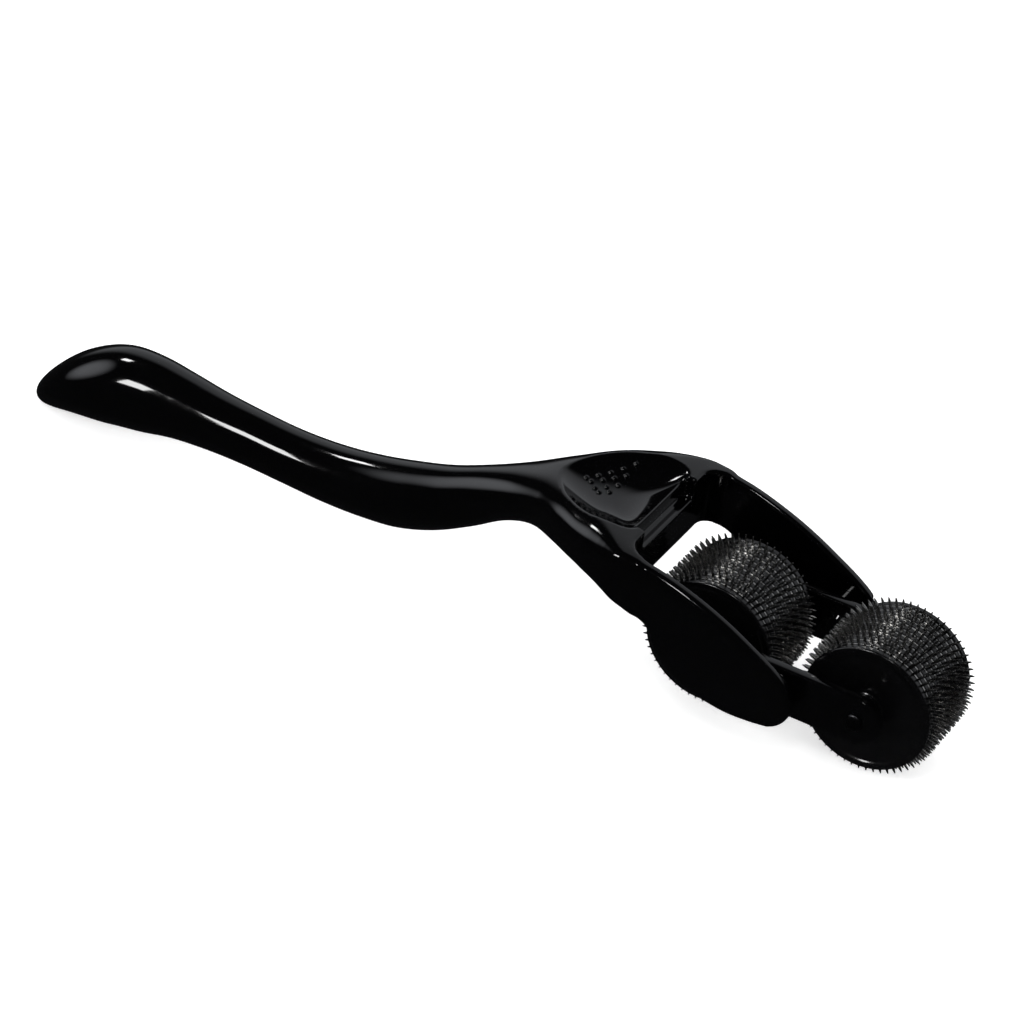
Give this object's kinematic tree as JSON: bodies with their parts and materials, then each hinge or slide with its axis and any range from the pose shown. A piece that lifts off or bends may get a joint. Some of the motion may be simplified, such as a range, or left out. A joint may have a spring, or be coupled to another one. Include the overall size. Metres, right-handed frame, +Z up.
{
  "type": "derma roller",
  "caption": "Curved one-piece handle with a dished thumb rest and an open fork; a rocking bogie in the fork carries paired needle rollers that spin freely.",
  "frame": {"origin": "on the ground under the middle of the whole object, as it stands on both rollers and its tail", "axes": "+X from the tail to the rollers, +Y across the handle to its left side, +Z up"},
  "size_m": [0.157, 0.0308, 0.0265],
  "materials": {
    "gloss_black": "high gloss moulded black",
    "drum_black": "gloss black drum rings and caps",
    "needle_steel": "dark plated needle discs",
    "axle_steel": "blackened axle"
  },
  "bodies": {
    "handle": {"handle": "gloss_black", "pivot_pin_left": "gloss_black", "pivot_pin_right": "gloss_black"},
    "bogie": {"side_plate_left": "gloss_black", "side_plate_right": "gloss_black", "front_axle": "axle_steel", "rear_axle": "axle_steel", "front_washer_left": "drum_black", "front_washer_right": "drum_black", "rear_washer_left": "drum_black", "rear_washer_right": "drum_black"},
    "front_roller": {"front_core": "drum_black", "front_end_cap_left": "drum_black", "front_end_cap_right": "drum_black", "front_needle_disc_01": "needle_steel", "front_needle_disc_02": "needle_steel", "front_needle_disc_03": "needle_steel", "front_needle_disc_04": "needle_steel", "front_needle_disc_05": "needle_steel", "front_needle_disc_06": "needle_steel", "front_needle_disc_07": "needle_steel", "front_needle_disc_08": "needle_steel", "front_needle_disc_09": "needle_steel", "front_needle_disc_10": "needle_steel", "front_spacer_1": "drum_black", "front_spacer_2": "drum_black", "front_spacer_3": "drum_black", "front_spacer_4": "drum_black", "front_spacer_5": "drum_black", "front_spacer_6": "drum_black", "front_spacer_7": "drum_black", "front_spacer_8": "drum_black", "front_spacer_9": "drum_black"},
    "rear_roller": {"rear_core": "drum_black", "rear_end_cap_left": "drum_black", "rear_end_cap_right": "drum_black", "rear_needle_disc_01": "needle_steel", "rear_needle_disc_02": "needle_steel", "rear_needle_disc_03": "needle_steel", "rear_needle_disc_04": "needle_steel", "rear_needle_disc_05": "needle_steel", "rear_needle_disc_06": "needle_steel", "rear_needle_disc_07": "needle_steel", "rear_needle_disc_08": "needle_steel", "rear_needle_disc_09": "needle_steel", "rear_needle_disc_10": "needle_steel", "rear_spacer_1": "drum_black", "rear_spacer_2": "drum_black", "rear_spacer_3": "drum_black", "rear_spacer_4": "drum_black", "rear_spacer_5": "drum_black", "rear_spacer_6": "drum_black", "rear_spacer_7": "drum_black", "rear_spacer_8": "drum_black", "rear_spacer_9": "drum_black"}
  },
  "joints": [
    {"name": "bogie_tilt", "type": "hinge", "parent": "handle", "child": "bogie", "pos_m": [0.0544, 0, 0.0113], "axis": [0, 1, 0], "range_deg": [-40, 40]},
    {"name": "front_roller_spin", "type": "hinge", "parent": "bogie", "child": "front_roller", "pos_m": [0.0672, 0, 0.0113], "axis": [0, 1, 0], "continuous": true},
    {"name": "rear_roller_spin", "type": "hinge", "parent": "bogie", "child": "rear_roller", "pos_m": [0.0416, 0, 0.0113], "axis": [0, 1, 0], "continuous": true}
  ]
}
